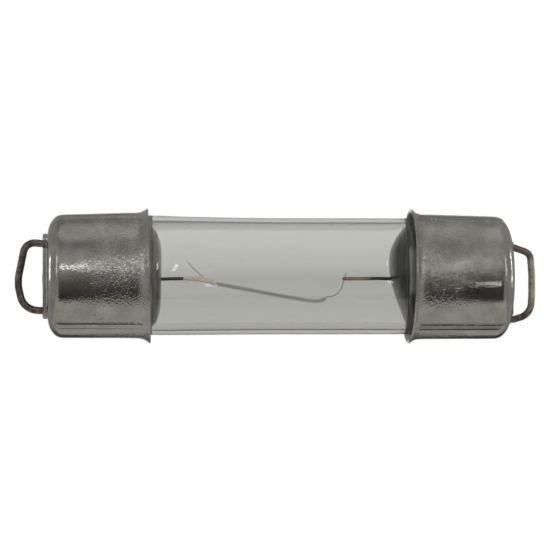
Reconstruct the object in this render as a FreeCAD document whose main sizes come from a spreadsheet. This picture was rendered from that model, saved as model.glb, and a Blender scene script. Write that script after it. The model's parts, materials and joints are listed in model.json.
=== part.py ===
import FreeCAD, Part
import math
import os

import Sketcher
from FreeCAD import Placement, Rotation, Vector

# A festoon light bulb with rigid wire loops, in millimetres. X runs along the bulb and Z is up.
# The loops stand in a plane of their own just in front of the axis, towards -Y.
# The origin is half way between their outer sides.

os.makedirs("parts", exist_ok=True)
doc = FreeCAD.newDocument("festoon_bulb")

SIZES = {
    # the whole bulb
    "over_loops": 45.0,
    "left_reach": 2.8,
    "right_reach": 2.3,
    # the glass tube
    "glass_left": 10.32,
    "glass_right": 10.1,
    "glass_wall": 0.5,
    "taper_run": 18.0,
    "glass_back": 4.05,
    "shoulder_along": 2.6,
    "shoulder_across": 1.8,
    "plug_length": 5.05,
    "left_dome_rise": 0.65,
    "right_dome_rise": 1.25,
    "left_dome_flat": 2.4,
    "right_dome_flat": 0.9,
    "left_dome_shift": -0.1,
    "right_dome_shift": 0.6,
    "dome_fit": 0.05,
    "overrun": 0.1,
    # the caps
    "cap_length": 8.65,
    "cap_play": 0.07,
    "cap_taper": 0.1,
    "sheet": 0.2,
    "flare_curve": 1.15,
    "flare_turn": 52.0,
    "corner_along": 1.3,
    "corner_across": 1.6,
    # the ribs pressed into the side of each cap
    "rib_length": 7.6,
    "rib_width": 0.92,
    "rib_height": 0.13,
    "rib_flank": 32.0,
    "rib_foot": 0.8,
    "rib_end_gap": 0.35,
    "rib_angle": -53.0,
    "rib_count": 3,
    # the raised bar pressed into the end of each cap
    "bar_length": 7.35,
    "bar_width": 2.2,
    "bar_height": 0.43,
    "bar_front": 0.6,
    "bar_corner": 0.5,
    # the wire loops
    "loop_wire": 0.56,
    "leg_play": 0.02,
    "leg_root": 0.7,
    "left_leg_top": 2.81,
    "left_leg_low": -2.93,
    "left_top_bend_x": 0.62,
    "left_top_bend": 0.95,
    "left_crown_top": -0.1,
    "left_crown_top_bend": 3.0,
    "left_crown_low": -0.9,
    "left_crown_low_bend": 2.0,
    "left_low_bend_x": 0.45,
    "left_low_bend": 1.6,
    "right_leg_top": 2.5,
    "right_leg_low": -3.75,
    "right_leg_stand": 0.32,
    "right_leg_bend": 0.8,
    "right_top_bend_x": 0.14,
    "right_top_corner": 1.98,
    "right_top_bend": 0.8,
    "right_crown_top": 0.1,
    "right_crown_top_bend": 6.0,
    "right_crown_low": -1.6,
    "right_crown_low_bend": 6.0,
    "right_low_bend_x": 0.12,
    "right_low_corner": -3.28,
    "right_low_bend": 1.35,
    # the solder
    "solder_round": 0.4,
    "solder_rise": 0.14,
    "lump_round": 0.52,
    "lump_rise": 0.4,
    "lead_hole": 0.6,
    "solder_proud": 0.05,
    # the leads and the posts
    "lead_wire": 0.26,
    "lead_drop": 0.2,
    "left_post_start": 8.05,
    "left_post_end": 5.25,
    "left_post_high": 0.54,
    "left_post_thick": 0.22,
    "left_post_droop": 0.22,
    "right_post_start": 8.15,
    "right_post_end": 5.75,
    "corner_share": 0.42,
    "post_slit": 0.08,
    "left_slit_length": 1.1,
    "right_slit_length": 0.45,
    "slit_end_wall": 0.22,
    # the filament
    "coil_wire": 0.06,
    "coil_outside": 0.38,
    "coil_turns": 51,
    "turn_step_count": 10,
    "wire_side_count": 4,
    "right_leg_point_count": 9,
    "coil_start_x": -5.12,
    "coil_start_z": -0.67,
    "coil_middle_x": 0.55,
    "coil_middle_z": -1.73,
    "coil_low_x": 3.3,
    "coil_low_z": -2.17,
    "coil_end_x": 4.3,
    "coil_end_z": -1.93,
    "left_tail_x": -7.67,
    "left_tail_z": 1.18,
    "left_hook_x": -5.6,
    "left_hook_z": -0.75,
    "left_hook_foot": 0.16,
    "left_hook_lift": 0.02,
    "left_hook_curve": 0.35,
    "right_leg_out": 0.12,
    "right_leg_sag": 0.02,
    "right_leg_under": 0.2,
    "right_leg_near": 0.06,
    "right_tail_lean": 0.03,
    "right_tail_z": 0.22,
    "right_tail_turn": 0.14,
}

sheet = doc.addObject("Spreadsheet::Sheet", "Sizes")
for row, (alias, number) in enumerate(SIZES.items(), start=1):
    sheet.set(f"A{row}", alias)
    sheet.set(f"B{row}", str(number))
    sheet.setAlias(f"B{row}", alias)
doc.recompute()


def size(alias):
    return float(getattr(sheet, alias))


def named(text):
    """An expression on the sheet, written with the bare names of its cells."""
    words = sorted(SIZES, key=len, reverse=True)
    for index, word in enumerate(words):
        text = text.replace(word, f"@{index}@")
    for index, word in enumerate(words):
        text = text.replace(f"@{index}@", f"Sizes.{word}")
    return text


def value(text):
    return float(sheet_reader.evalExpression(named(text)))


def bind(item, prop, text):
    item.setExpression(prop, named(text))


sheet_reader = doc.addObject("App::FeaturePython", "Reader")


# Sketches


def sketch_on(body, name, role, offset="0", turn=None):
    """A sketch on one of the body's own origin planes, moved along the plane's normal and turned about X."""
    plane = next(item for item in body.Origin.OriginFeatures if item.Role == role)
    sketch = body.newObject("Sketcher::SketchObject", name)
    sketch.AttachmentSupport = [(plane, "")]
    sketch.MapMode = "FlatFace"
    if turn is None:
        sketch.AttachmentOffset = Placement(Vector(0, 0, value(offset)), Rotation())
        if offset != "0":
            bind(sketch, "AttachmentOffset.Base.z", offset)
    else:
        angle = value(turn)
        lift = value(offset)
        normal = Vector(0, -math.sin(math.radians(angle)), math.cos(math.radians(angle)))
        sketch.AttachmentOffset = Placement(normal * lift, Rotation(Vector(1, 0, 0), angle))
        bind(sketch, "AttachmentOffset.Base.y", f"-sin({turn}) * ({offset})")
        bind(sketch, "AttachmentOffset.Base.z", f"cos({turn}) * ({offset})")
        bind(sketch, "AttachmentOffset.Rotation.Angle", turn)
    return sketch


def hold(sketch, kind, geometry, point, text):
    """Holds one coordinate of a point of the sketch at an expression."""
    place = sketch.addConstraint(Sketcher.Constraint(kind, -1, 1, geometry, point, value(text)))
    if text != "0":
        bind(sketch, f"Constraints[{place}]", text)


def hold_radius(sketch, geometry, text):
    place = sketch.addConstraint(Sketcher.Constraint("Radius", geometry, value(text)))
    bind(sketch, f"Constraints[{place}]", text)


def arc_between(start, end, radius, side):
    """The shorter arc from start to end. side is 1 with the centre on the left of the way, else -1."""
    half = (end - start) * 0.5
    depth = math.sqrt(max(radius * radius - half.Length * half.Length, 0))
    across = Vector(-half.y, half.x, 0).normalize() * side
    centre = start + half + across * depth
    first, last = (start, end) if side > 0 else (end, start)
    from_angle = math.atan2(first.y - centre.y, first.x - centre.x)
    to_angle = math.atan2(last.y - centre.y, last.x - centre.x)
    if to_angle < from_angle:
        to_angle += 2 * math.pi
    return Part.ArcOfCircle(Part.Circle(centre, Vector(0, 0, 1), radius), from_angle, to_angle)


def outline(sketch, corners, arcs=None):
    """A closed outline through the corners. arcs gives (radius, side) by the first corner of an edge."""
    arcs = arcs or {}
    points = [Vector(value(x), value(y), 0) for x, y in corners]
    ends = []
    for index, start in enumerate(points):
        end = points[(index + 1) % len(points)]
        if index in arcs:
            radius, side = arcs[index]
            geometry = sketch.addGeometry(arc_between(start, end, value(radius), side), False)
            ends.append((geometry, 1, 2) if side > 0 else (geometry, 2, 1))
        else:
            geometry = sketch.addGeometry(Part.LineSegment(start, end), False)
            ends.append((geometry, 1, 2))
    for index, (geometry, _, last) in enumerate(ends):
        following, first, _ = ends[(index + 1) % len(ends)]
        sketch.addConstraint(Sketcher.Constraint("Coincident", geometry, last, following, first))
    for (geometry, first, _), (x, y) in zip(ends, corners):
        hold(sketch, "DistanceX", geometry, first, x)
        hold(sketch, "DistanceY", geometry, first, y)
    for index, (radius, _) in arcs.items():
        hold_radius(sketch, ends[index][0], radius)


def circle(sketch, x, y, radius):
    ring = Part.Circle(Vector(value(x), value(y), 0), Vector(0, 0, 1), value(radius))
    geometry = sketch.addGeometry(ring, False)
    hold(sketch, "DistanceX", geometry, 3, x)
    hold(sketch, "DistanceY", geometry, 3, y)
    hold_radius(sketch, geometry, radius)


def slot(sketch, from_x, to_x, radius):
    """A round-ended slot along the sketch's X axis, between two end centres."""
    left, right, half = value(from_x), value(to_x), value(radius)
    lower = sketch.addGeometry(Part.LineSegment(Vector(left, -half, 0), Vector(right, -half, 0)), False)
    nose = Part.Circle(Vector(right, 0, 0), Vector(0, 0, 1), half)
    nose = sketch.addGeometry(Part.ArcOfCircle(nose, -math.pi / 2, math.pi / 2), False)
    upper = sketch.addGeometry(Part.LineSegment(Vector(right, half, 0), Vector(left, half, 0)), False)
    tail = Part.Circle(Vector(left, 0, 0), Vector(0, 0, 1), half)
    tail = sketch.addGeometry(Part.ArcOfCircle(tail, math.pi / 2, 3 * math.pi / 2), False)
    for one, other in ((lower, nose), (nose, upper), (upper, tail), (tail, lower)):
        sketch.addConstraint(Sketcher.Constraint("Tangent", one, 2, other, 1))
    sketch.addConstraint(Sketcher.Constraint("Equal", nose, tail))
    hold(sketch, "DistanceX", nose, 3, to_x)
    hold(sketch, "DistanceY", nose, 3, "0")
    hold(sketch, "DistanceX", tail, 3, from_x)
    hold(sketch, "DistanceY", tail, 3, "0")
    hold_radius(sketch, nose, radius)


def bent_path(sketch, corners, bends):
    """Straight runs joined by tangent arcs: one bend radius for each corner between the two ends."""
    points = [Vector(value(x), value(y), 0) for x, y in corners]
    start = points[0]
    pieces = []
    for index, radius in enumerate(bends, start=1):
        way_in = (points[index] - points[index - 1]).normalize()
        way_out = (points[index + 1] - points[index]).normalize()
        turn = way_in.getAngle(way_out)
        side = 1 if way_in.x * way_out.y - way_in.y * way_out.x > 0 else -1
        reach = value(radius) * math.tan(turn / 2)
        enter = points[index] - way_in * reach
        leave = points[index] + way_out * reach
        pieces.append((sketch.addGeometry(Part.LineSegment(start, enter), False), 1, 2))
        arc = sketch.addGeometry(arc_between(enter, leave, value(radius), side), False)
        pieces.append((arc, 1, 2) if side > 0 else (arc, 2, 1))
        start = leave
    pieces.append((sketch.addGeometry(Part.LineSegment(start, points[-1]), False), 1, 2))
    for (one, _, last), (other, first, _) in zip(pieces, pieces[1:]):
        sketch.addConstraint(Sketcher.Constraint("Tangent", one, last, other, first))
    for index, radius in enumerate(bends, start=1):
        corner = sketch.addGeometry(Part.Point(points[index]), True)
        sketch.addConstraint(Sketcher.Constraint("PointOnObject", corner, 1, pieces[2 * index - 2][0]))
        sketch.addConstraint(Sketcher.Constraint("PointOnObject", corner, 1, pieces[2 * index][0]))
        hold(sketch, "DistanceX", corner, 1, corners[index][0])
        hold(sketch, "DistanceY", corner, 1, corners[index][1])
        hold_radius(sketch, pieces[2 * index - 1][0], radius)
    for geometry, point, (x, y) in ((pieces[0][0], 1, corners[0]), (pieces[-1][0], 2, corners[-1])):
        hold(sketch, "DistanceX", geometry, point, x)
        hold(sketch, "DistanceY", geometry, point, y)


# Features


def new_body(label):
    body = doc.addObject("PartDesign::Body", label)
    body.Label = label
    return body


def revolve(body, kind, sketch, axis="H_Axis"):
    """Turns the sketch about the bulb's axis, or its own first one. A Revolution adds and a Groove cuts."""
    feature = body.newObject(f"PartDesign::{kind}", f"{sketch.Name}_{kind}")
    feature.Profile = sketch
    feature.ReferenceAxis = (sketch, [axis])
    feature.Angle = 360
    return feature


def raise_or_cut(body, kind, sketch, length, backwards=False):
    """A Pad goes along the sketch's normal and a Pocket against it, unless backwards."""
    feature = body.newObject(f"PartDesign::{kind}", f"{sketch.Name}_{kind}")
    feature.Profile = sketch
    feature.Length = value(length)
    bind(feature, "Length", length)
    feature.Reversed = backwards
    return feature


# Places along the bulb. side is -1 for the left end and 1 for the right one.

REACH = {-1: "left_reach", 1: "right_reach"}
GLASS = {-1: "glass_left", 1: "glass_right"}
END_NAME = {-1: "left", 1: "right"}


def along(side, distance):
    """The X of a place that lies this far from the origin, towards one end."""
    return f"{side} * ({distance})"


def flat_face(side):
    return f"(over_loops / 2 - {REACH[side]})"


def rim(side):
    return f"({flat_face(side)} - cap_length)"


def from_rim(side, distance):
    return along(side, f"{rim(side)} + {distance}")


def from_flat(side, distance):
    return along(side, f"{flat_face(side)} + {distance}")


MOUTH_INSIDE = "(glass_left / 2 + cap_play)"
END_INSIDE = f"({MOUTH_INSIDE} - cap_taper)"
FLARE_REACH = "((flare_curve + sheet) * sin(flare_turn))"
ROUND_SUM = "(corner_along + corner_across)"
ROUND_STEP = "((corner_across - corner_along) / (sqrt(2) - 1))"
SIDE_ROUND = f"(({ROUND_SUM} - {ROUND_STEP}) / 2)"
END_ROUND = f"(({ROUND_SUM} + {ROUND_STEP}) / 2)"
LEG_PLANE = "(bar_front + leg_play + loop_wire / 2)"
GLASS_END = {side: f"({flat_face(side)} - glass_back)" for side in (-1, 1)}


# The glass tube


def glass_corners(side):
    """The blunt cone that the melted end of the tube draws in to, from the axis outwards."""
    return [
        (along(side, GLASS_END[side]), "0"),
        (along(side, GLASS_END[side]), f"{GLASS[side]} / 2 - shoulder_across"),
        (along(side, f"{GLASS_END[side]} - shoulder_along"), f"{GLASS[side]} / 2"),
    ]


def tube_taper(inset):
    """The slight taper between the two straight stretches of the tube, from right to left."""
    return [
        ("taper_run / 2", f"glass_right / 2 - {inset}"),
        ("-taper_run / 2", f"glass_left / 2 - {inset}"),
    ]


def seal_dome(body, side):
    """The melted end of the cavity, which swells inwards round the lead, a little off the bulb's axis."""
    name = END_NAME[side]
    sketch = sketch_on(body, f"{name}_dome", "XZ_Plane")
    middle = f"{name}_dome_shift"
    flat = f"{name}_dome_flat"
    base = along(side, f"{GLASS_END[side]} - plug_length + dome_fit")
    crest = along(side, f"{GLASS_END[side]} - plug_length - {name}_dome_rise")
    reach = f"({GLASS[side]} / 2 - glass_wall - abs({middle}) - dome_fit)"
    rise = f"({name}_dome_rise + dome_fit)"
    slope_round = f"(({rise} ^ 2 + ({reach} - {flat}) ^ 2) / (2 * {rise}))"
    corners = [
        (base, middle),
        (crest, middle),
        (crest, f"{middle} + {flat}"),
        (base, f"{middle} + {reach}"),
    ]
    outline(sketch, corners, {2: (slope_round, side)})
    axis = sketch.addGeometry(Part.LineSegment(Vector(0, 0, 0), Vector(1, 0, 0)), True)
    sketch.addConstraint(Sketcher.Constraint("Coincident", axis, 1, 0, 1))
    sketch.addConstraint(Sketcher.Constraint("Coincident", axis, 2, 0, 2))
    revolve(body, "Revolution", sketch, "Axis0")


def make_glass():
    body = new_body("glass_envelope")
    outside = sketch_on(body, "glass_outside", "XZ_Plane")
    outline(outside, glass_corners(1) + tube_taper("0") + glass_corners(-1)[::-1])
    revolve(body, "Revolution", outside)
    inside = sketch_on(body, "glass_inside", "XZ_Plane")
    left_plug, right_plug = (along(side, f"{GLASS_END[side]} - plug_length") for side in (-1, 1))
    cavity = [(right_plug, "0"), (right_plug, "glass_right / 2 - glass_wall")]
    cavity += tube_taper("glass_wall")
    cavity += [(left_plug, "glass_left / 2 - glass_wall"), (left_plug, "0")]
    outline(inside, cavity)
    revolve(body, "Groove", inside)
    for side in (-1, 1):
        seal_dome(body, side)
    doc.recompute()
    bore = sketch_on(body, "lead_bore", "YZ_Plane", along(-1, f"{GLASS_END[-1]} + overrun"))
    circle(bore, "0", "-lead_drop", "lead_wire / 2")
    through = f"{GLASS_END[-1]} + {GLASS_END[1]} + 2 * overrun"
    raise_or_cut(body, "Pocket", bore, through, backwards=True)
    return body


# The caps


def corner_points(side, inset):
    """The rounded corner between the side and the flat end, this far inside the outer surface."""
    half_turn = f"{flat_face(side)} - corner_along + ({SIDE_ROUND} - {inset}) / sqrt(2)"
    half_rise = f"{END_INSIDE} + sheet - {SIDE_ROUND} + ({SIDE_ROUND} - {inset}) / sqrt(2)"
    return [
        (from_flat(side, "-corner_along"), f"{END_INSIDE} + sheet - {inset}"),
        (along(side, half_turn), half_rise),
        (from_flat(side, f"-({inset})"), f"{END_INSIDE} + sheet - corner_across"),
        (from_flat(side, f"-({inset})"), "0"),
    ]


def cap_outside(body, side):
    """The outer surface of the drawn sheet: flared mouth, side, rounded corner and flat end."""
    sketch = sketch_on(body, f"{END_NAME[side]}_cap_outside", "XZ_Plane")
    outside = f"{MOUTH_INSIDE} + sheet"
    corners = [
        (from_rim(side, "0"), "0"),
        (from_rim(side, "0"), f"{outside} + flare_curve - (flare_curve + sheet) * cos(flare_turn)"),
        (from_rim(side, "sheet * sin(flare_turn)"), f"{outside} + flare_curve * (1 - cos(flare_turn))"),
        (from_rim(side, FLARE_REACH), outside),
    ]
    arcs = {2: ("flare_curve", side), 4: (SIDE_ROUND, -side), 5: (END_ROUND, -side)}
    outline(sketch, corners + corner_points(side, "0"), arcs)
    revolve(body, "Revolution", sketch)


def cap_inside(body, side):
    """The hollow of the cap, one sheet's thickness inside the outer surface."""
    sketch = sketch_on(body, f"{END_NAME[side]}_cap_inside", "XZ_Plane")
    corners = [
        (from_rim(side, "0"), "0"),
        (from_rim(side, "0"), f"{MOUTH_INSIDE} + (flare_curve + sheet) * (1 - cos(flare_turn))"),
        (from_rim(side, FLARE_REACH), MOUTH_INSIDE),
    ]
    arcs = {
        1: ("flare_curve + sheet", side),
        3: (f"{SIDE_ROUND} - sheet", -side),
        4: (f"{END_ROUND} - sheet", -side),
    }
    outline(sketch, corners + corner_points(side, "sheet"), arcs)
    revolve(body, "Groove", sketch)


def cap_ribs(body, side):
    """Long ribs pressed outwards, evenly spaced round the cap."""
    middle = f"({MOUTH_INSIDE} - cap_taper / 2 + sheet / 2)"
    sketch = sketch_on(body, f"{END_NAME[side]}_rib", "XY_Plane", middle, "(90 - rib_angle)")
    near = f"{rim(side)} + rib_end_gap + rib_width / 2"
    far = f"{rim(side)} + rib_end_gap + rib_length - rib_width / 2"
    first, last = (near, far) if side > 0 else (far, near)
    slot(sketch, along(side, first), along(side, last), "rib_width / 2")
    top = raise_or_cut(body, "Pad", sketch, "rib_height + sheet / 2")
    top.TaperAngle = -size("rib_flank")
    bind(top, "TaperAngle", "-rib_flank")
    foot = body.newObject("PartDesign::Pad", f"{END_NAME[side]}_rib_foot")
    foot.Profile = sketch
    foot.Length = size("rib_foot")
    bind(foot, "Length", "rib_foot")
    foot.Reversed = True
    pattern = body.newObject("PartDesign::PolarPattern", f"{END_NAME[side]}_ribs")
    pattern.Originals = [top, foot]
    pattern.Axis = (next(item for item in body.Origin.OriginFeatures if item.Role == "X_Axis"), [""])
    pattern.Angle = 360
    pattern.Occurrences = int(size("rib_count"))
    bind(pattern, "Occurrences", "rib_count")
    body.Tip = pattern


def bar_outline(sketch, inset):
    """The raised bar on the end, in the plane across the bulb: Y is the sketch's X."""
    front = f"-bar_front + {inset}"
    back = f"bar_width - bar_front - {inset}"
    top = f"bar_length / 2 - {inset}"
    turn = f"(bar_corner - {inset})"
    corners = [
        (f"{front} + {turn}", f"-({top})"),
        (f"{back} - {turn}", f"-({top})"),
        (back, f"-({top}) + {turn}"),
        (back, f"{top} - {turn}"),
        (f"{back} - {turn}", top),
        (f"{front} + {turn}", top),
        (front, f"{top} - {turn}"),
        (front, f"-({top}) + {turn}"),
    ]
    outline(sketch, corners, {1: (turn, 1), 3: (turn, 1), 5: (turn, 1), 7: (turn, 1)})


def cap_bar(body, side):
    """A raised bar pressed out of the flat end, hollow behind."""
    name = END_NAME[side]
    raised = sketch_on(body, f"{name}_bar", "YZ_Plane", from_flat(side, "-sheet / 2"))
    bar_outline(raised, "0")
    raise_or_cut(body, "Pad", raised, "bar_height + sheet / 2", backwards=side < 0)
    doc.recompute()
    hollow = sketch_on(body, f"{name}_bar_back", "YZ_Plane", from_flat(side, "-sheet - overrun"))
    bar_outline(hollow, "sheet")
    raise_or_cut(body, "Pocket", hollow, "bar_height + overrun", backwards=side > 0)


def cap_holes(body, side):
    """Holes for the two legs of the loop and for the lead."""
    name = END_NAME[side]
    sketch = sketch_on(body, f"{name}_holes", "YZ_Plane", from_flat(side, "bar_height + overrun"))
    hole = "loop_wire / 2 + leg_play"
    circle(sketch, f"-{LEG_PLANE}", f"{name}_leg_top", hole)
    circle(sketch, f"-{LEG_PLANE}", f"{name}_leg_low", hole)
    circle(sketch, "0", "-lead_drop", "lead_hole / 2")
    raise_or_cut(body, "Pocket", sketch, "bar_height + sheet + 2 * overrun", backwards=side < 0)


def make_cap(side):
    body = new_body(f"{END_NAME[side]}_cap")
    cap_outside(body, side)
    cap_ribs(body, side)
    cap_inside(body, side)
    cap_bar(body, side)
    doc.recompute()
    cap_holes(body, side)
    return body


# The wire loops


def make_loop(side, corners, bends):
    """Round wire swept along a path in the plane of the loop."""
    name = END_NAME[side]
    body = new_body(f"{name}_loop")
    path = sketch_on(body, f"{name}_loop_path", "XZ_Plane", LEG_PLANE)
    bent_path(path, corners, bends)
    ring = sketch_on(body, f"{name}_loop_ring", "YZ_Plane", from_flat(side, "-leg_root"))
    circle(ring, f"-{LEG_PLANE}", f"{name}_leg_top", "loop_wire / 2")
    wire = body.newObject("PartDesign::AdditivePipe", f"{name}_loop_wire")
    wire.Profile = ring
    wire.Spine = (path, [])
    return body


def left_loop_path():
    crown = along(-1, "over_loops / 2 - loop_wire / 2")
    corners = [
        (from_flat(-1, "-leg_root"), "left_leg_top"),
        (f"{crown} + left_top_bend_x", "left_leg_top"),
        (crown, "left_crown_top"),
        (crown, "left_crown_low"),
        (f"{crown} + left_low_bend_x", "left_leg_low"),
        (from_flat(-1, "-leg_root"), "left_leg_low"),
    ]
    return corners, ["left_top_bend", "left_crown_top_bend", "left_crown_low_bend", "left_low_bend"]


def right_loop_path():
    """Both legs of this loop lean inwards and downwards once they are out of the cap."""
    crown = along(1, "over_loops / 2 - loop_wire / 2")
    corners = [
        (from_flat(1, "-leg_root"), "right_leg_top"),
        (from_flat(1, "right_leg_stand"), "right_leg_top"),
        (f"{crown} - right_top_bend_x", "right_top_corner"),
        (crown, "right_crown_top"),
        (crown, "right_crown_low"),
        (f"{crown} - right_low_bend_x", "right_low_corner"),
        (from_flat(1, "right_leg_stand"), "right_leg_low"),
        (from_flat(1, "-leg_root"), "right_leg_low"),
    ]
    bends = [
        "right_leg_bend",
        "right_top_bend",
        "right_crown_top_bend",
        "right_crown_low_bend",
        "right_low_bend",
        "right_leg_bend",
    ]
    return corners, bends


# Solder


def loop_solder(side, low_round, low_rise):
    """A fillet of solder round each leg, on the front of the raised bar."""
    name = END_NAME[side]
    fillets = []
    for leg, foot, rise in (("top", "solder_round", "solder_rise"), ("low", low_round, low_rise)):
        label = f"{name}_{leg}_fillet"
        cone = doc.addObject("Part::Cone", f"{label}_cone")
        bind(cone, "Radius1", foot)
        bind(cone, "Radius2", f"(loop_wire / 2 + {foot}) / 2 - leg_play")
        bind(cone, "Height", rise)
        hole = doc.addObject("Part::Cylinder", f"{label}_leg")
        bind(hole, "Radius", "loop_wire / 2")
        bind(hole, "Height", rise)
        behind = doc.addObject("Part::Box", f"{label}_bar")
        bind(behind, "Length", rise)
        bind(behind, "Width", "bar_width")
        bind(behind, "Height", "bar_length")
        for item in (cone, hole):
            item.Placement.Rotation = Rotation(Vector(0, 0, 1), Vector(side, 0, 0))
            bind(item, "Placement.Base.x", from_flat(side, "0"))
            bind(item, "Placement.Base.y", f"-{LEG_PLANE}")
            bind(item, "Placement.Base.z", f"{name}_leg_{leg}")
        bind(behind, "Placement.Base.x", from_flat(side, "0" if side > 0 else rise))
        bind(behind, "Placement.Base.y", "-bar_front")
        bind(behind, "Placement.Base.z", "-bar_length / 2")
        pierced = doc.addObject("Part::Cut", f"{label}_pierced")
        pierced.Base = cone
        pierced.Tool = hole
        fillet = doc.addObject("Part::Cut", label)
        fillet.Base = pierced
        fillet.Tool = behind
        fillets.append(fillet)
    pair = doc.addObject("Part::Compound", f"{name}_loop_solder")
    pair.Links = fillets
    pair.Label = f"{name}_loop_solder"
    return pair


def lead_solder(side):
    """Solder that fills the hole in the raised bar round the end of the lead."""
    name = END_NAME[side]
    body = new_body(f"{name}_lead_solder")
    ring = sketch_on(body, f"{name}_lead_solder_ring", "YZ_Plane", from_flat(side, "bar_height - sheet"))
    circle(ring, "0", "-lead_drop", "lead_hole / 2")
    circle(ring, "0", "-lead_drop", "lead_wire / 2")
    raise_or_cut(body, "Pad", ring, "sheet + solder_proud", backwards=side < 0)
    return body


# Leads, posts and cement


def make_lead(side):
    """The dark wire from the post, through the glass, to the solder on the cap."""
    name = END_NAME[side]
    wire = doc.addObject("Part::Cylinder", f"{name}_lead")
    wire.Label = f"{name}_lead"
    wire.Placement.Rotation = Rotation(Vector(0, 0, 1), Vector(side, 0, 0))
    bind(wire, "Radius", "lead_wire / 2")
    bind(wire, "Height", f"{flat_face(side)} + bar_height + solder_proud - {name}_post_start")
    bind(wire, "Placement.Base.x", along(side, f"{name}_post_start"))
    bind(wire, "Placement.Base.z", "-lead_drop")
    return wire


def post_section(body, label, x, z, high, thick):
    """One section of a post, across the bulb: a rectangle with its corners off."""
    sketch = sketch_on(body, label, "YZ_Plane", x)
    across, along_edge = f"({thick}) / 2", f"({thick}) / 2 * corner_share"
    half, half_edge = f"({high}) / 2", f"(({high}) / 2 - ({thick}) / 2 * (1 - corner_share))"
    corners = []
    for side_y, side_z in ((1, -1), (1, 1), (-1, 1), (-1, -1)):
        edge = (f"{side_y} * {across}", f"{z} + {side_z} * {half_edge}")
        end = (f"{side_y} * {along_edge}", f"{z} + {side_z} * {half}")
        corners += [edge, end] if side_y * side_z > 0 else [end, edge]
    outline(sketch, corners)
    return sketch


def make_post(side, shape, slit_length):
    """A wire end squeezed over the filament: sections lofted along the bulb, with a slit for the filament."""
    name = END_NAME[side]
    body = new_body(f"{name}_post")
    length = f"({name}_post_start - {name}_post_end)"
    sections = []
    for index, (share, drop, high, thick) in enumerate(shape):
        x = along(side, f"{name}_post_end + {length} * {share}")
        sections.append(post_section(body, f"{name}_post_{index}", x, f"-lead_drop - {drop}", high, thick))
    loft = body.newObject("PartDesign::AdditiveLoft", f"{name}_post_body")
    loft.Profile = sections[0]
    loft.Sections = sections[1:]
    loft.Ruled = True
    doc.recompute()
    slit = sketch_on(body, f"{name}_post_slit", "XY_Plane")
    near = along(side, f"{name}_post_end + slit_end_wall")
    far = along(side, f"{name}_post_end + slit_end_wall + {slit_length}")
    left_wall, right_wall = "-post_slit / 2", "post_slit / 2"
    outline(slit, [(near, left_wall), (far, left_wall), (far, right_wall), (near, right_wall)])
    cut = body.newObject("PartDesign::Pocket", f"{name}_post_cut")
    cut.Profile = slit
    cut.Type = "ThroughAll"
    cut.Midplane = True
    return body


# From the tip outwards: share of the length, drop below the lead, height and thickness.
LEFT_POST_SHAPE = [
    (0.0, "left_post_droop", "left_post_high * 0.42", "left_post_thick * 0.7"),
    (0.16, "left_post_droop * 0.75", "left_post_high * 0.8", "left_post_thick"),
    (0.4, "left_post_droop * 0.42", "left_post_high", "left_post_thick"),
    (0.67, "left_post_droop * 0.15", "left_post_high * 0.85", "left_post_thick"),
    (0.9, "0", "lead_wire * 1.01", "lead_wire"),
    (1.0, "0", "lead_wire * 1.01", "lead_wire"),
]

RIGHT_POST_SHAPE = [
    (0.0, "0", "lead_wire * 0.75", "lead_wire * 0.7"),
    (0.06, "0", "lead_wire * 1.05", "lead_wire"),
    (0.4, "0", "lead_wire * 1.02", "lead_wire"),
    (1.0, "0", "lead_wire * 1.01", "lead_wire"),
]


def make_cement(side):
    """Cement that fills the cap from the root of the flare to the corner, round the end of the glass."""
    name = END_NAME[side]
    body = new_body(f"{name}_cement")
    sketch = sketch_on(body, f"{name}_cement_section", "XZ_Plane")
    back = from_flat(side, "-corner_along")
    corners = [
        (from_rim(side, FLARE_REACH), f"{GLASS[side]} / 2"),
        (from_rim(side, FLARE_REACH), MOUTH_INSIDE),
        (back, END_INSIDE),
        (back, "0"),
    ]
    outline(sketch, corners + glass_corners(side))
    revolve(body, "Revolution", sketch)
    doc.recompute()
    bore = sketch_on(body, f"{name}_cement_bore", "YZ_Plane", from_flat(side, "0"))
    circle(bore, "0", "-lead_drop", "lead_wire / 2")
    raise_or_cut(body, "Pocket", bore, "cap_length", backwards=side < 0)
    return body


# The filament

# The right leg passes these shares of its way across and of its way up.
RIGHT_LEG_CURVE = ((0.45, 0.1), (0.75, 0.4))


def smooth_curve(points):
    curve = Part.BSplineCurve()
    curve.interpolate(points)
    return curve


def coil_points():
    """The coil's turns about its sagging middle line, which lies in the plane of the leads."""
    places = ("start", "middle", "low", "end")
    middle = smooth_curve([Vector(size(f"coil_{place}_x"), 0, size(f"coil_{place}_z")) for place in places])
    edge = middle.toShape()
    turns = int(size("coil_turns"))
    radius = (size("coil_outside") - size("coil_wire")) / 2
    steps_a_turn = int(size("turn_step_count"))
    steps = turns * steps_a_turn
    points = []
    for step in range(steps + 1):
        place = edge.getParameterByLength(edge.Length * step / steps)
        tangent = edge.tangentAt(place)
        upwards = Vector(-tangent.z, 0, tangent.x)
        angle = 2 * math.pi * step / steps_a_turn
        from_middle = upwards * (radius * math.cos(angle)) - Vector(0, radius * math.sin(angle), 0)
        points.append(edge.valueAt(place) + from_middle)
    return points


def left_leg_points():
    """The straight tail, the way through the slit of the left post and the hook up to the coil."""
    slit_middle = -(size("left_post_end") + size("slit_end_wall") + size("left_slit_length") / 2)
    tail = Vector(size("left_tail_x"), 0, size("left_tail_z"))
    hook = Vector(size("left_hook_x"), 0, size("left_hook_z"))
    through = Vector(slit_middle, 0, -size("lead_drop") - size("left_post_droop") / 2)
    foot = hook + Vector(size("left_hook_foot"), 0, size("left_hook_lift"))
    return [tail, through, hook + (through - hook) * size("left_hook_curve"), hook, foot]


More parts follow.
